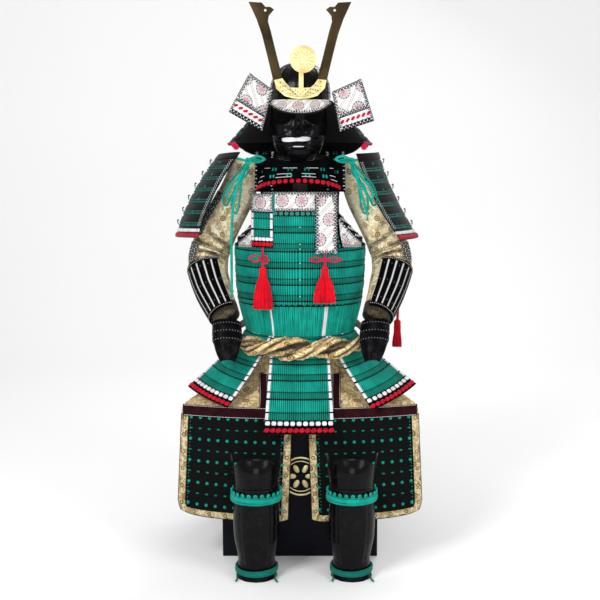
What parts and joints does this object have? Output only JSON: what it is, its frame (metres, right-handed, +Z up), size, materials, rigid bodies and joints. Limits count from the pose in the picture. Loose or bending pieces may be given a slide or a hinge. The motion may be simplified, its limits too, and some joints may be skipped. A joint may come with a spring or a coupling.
{
  "type": "samurai armour on a storage chest and stand",
  "caption": "Full laced armour with horned helmet, mask, shields, sleeves, skirts, thigh apron and shin guards, shown seated on its black storage chest over a plain wooden stand.",
  "frame": {"origin": "centre of the chest's underside, on the floor", "axes": "+Z up, the front of the armour faces -Y, +X is the wearer's left"},
  "size_m": [0.7056, 0.6298, 1.479],
  "materials": {
    "chest_lacquer": "black lacquer over wood, semi-gloss",
    "stand_wood": "plain dark-stained wood, matt",
    "laced_plates": "lacquered plate rows covered by close teal silk lacing",
    "dark_laced_plates": "near-black lacquered lames with thin teal lacing",
    "printed_leather": "pale leather printed with dark and pink medallions, matt",
    "black_lacquer": "black lacquer over iron, glossy",
    "dark_iron": "rough dark iron, nearly matt",
    "brocade": "olive-gold figured brocade with a low sheen",
    "brown_band": "dark brown stitched band",
    "gilt_metal": "pale gilt, satin",
    "dark_brass": "dull dark brass",
    "red_silk": "bright red silk fringe and cord",
    "teal_cord": "round braided teal silk cord"
  },
  "bodies": {
    "root": {"chest_body": "chest_lacquer", "chest_lid": "chest_lacquer", "display_stand": "stand_wood", "cuirass_front": "laced_plates", "cuirass_back": "laced_plates", "breast_rows": "laced_plates", "breast_plate": "printed_leather", "back_upper": "laced_plates", "armpit_plate_right": "printed_leather", "armpit_plate_left": "printed_leather", "shoulder_strap_right": "dark_laced_plates", "shoulder_strap_left": "dark_laced_plates", "laced_pendant_plate": "laced_plates", "leather_pendant_plate": "printed_leather", "hanging_cords_front": "teal_cord", "hanging_cords_back": "teal_cord", "skirt_front": "laced_plates", "skirt_right": "laced_plates", "skirt_left": "laced_plates", "skirt_back": "laced_plates", "sash_twist": "brocade", "sash_back": "brocade", "thigh_apron_cloth": "brocade", "thigh_panel_right": "dark_laced_plates", "thigh_panel_left": "dark_laced_plates", "thigh_band": "brown_band", "shin_guard_right": "black_lacquer", "knee_guard_right": "black_lacquer", "shin_tie_upper_right": "teal_cord", "shin_tie_lower_right": "teal_cord", "shin_guard_left": "black_lacquer", "knee_guard_left": "black_lacquer", "shin_tie_upper_left": "teal_cord", "shin_tie_lower_left": "teal_cord", "sleeve_right": "brocade", "forearm_splints_right": "dark_iron", "hand_guard_right": "dark_iron", "sleeve_left": "brocade", "forearm_splints_left": "dark_iron", "hand_guard_left": "dark_iron", "shoulder_shield_right": "dark_laced_plates", "shoulder_shield_left": "dark_laced_plates", "helmet_bowl": "black_lacquer", "helmet_visor": "printed_leather", "neck_guard": "dark_laced_plates", "brow_wing_right": "printed_leather", "brow_wing_left": "printed_leather", "horn_base": "gilt_metal", "helmet_horn_right": "dark_brass", "helmet_horn_left": "dark_brass", "crest_disc": "gilt_metal", "face_mask": "black_lacquer", "throat_guard": "black_lacquer", "tassel_right": "red_silk", "tassel_left": "red_silk", "tassel_rear": "red_silk", "shoulder_knot_right": "teal_cord", "shoulder_knot_left": "teal_cord", "shoulder_cord_right": "teal_cord", "shoulder_cord_left": "teal_cord"}
  },
  "joints": []
}
